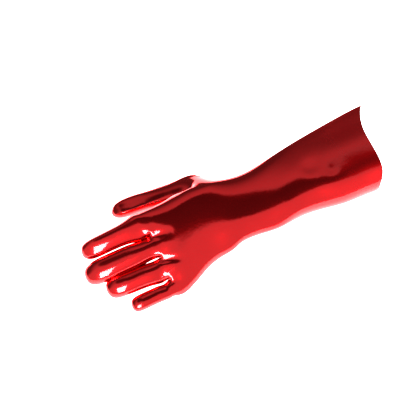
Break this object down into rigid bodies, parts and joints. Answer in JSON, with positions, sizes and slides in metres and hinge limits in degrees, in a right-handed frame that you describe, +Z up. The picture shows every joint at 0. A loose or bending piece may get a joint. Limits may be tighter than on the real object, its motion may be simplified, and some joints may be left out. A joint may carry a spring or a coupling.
{
  "type": "pvc coated work glove",
  "caption": "Left-hand gauntlet work glove of glossy red pvc, hollow with an open flared cuff, lying palm down with the thumb out to the side.",
  "frame": {"origin": "middle of the footprint, on the surface that the glove lies on", "axes": "+X from the fingertips to the cuff, +Y towards the thumb side, +Z up from the surface, out of the back of the hand"},
  "size_m": [0.4034, 0.1412, 0.0478],
  "materials": {
    "pvc_red": "smooth glossy dipped pvc with slight waviness, cotton knit inside"
  },
  "bodies": {
    "root": {"glove_shell": "pvc_red"}
  },
  "joints": []
}
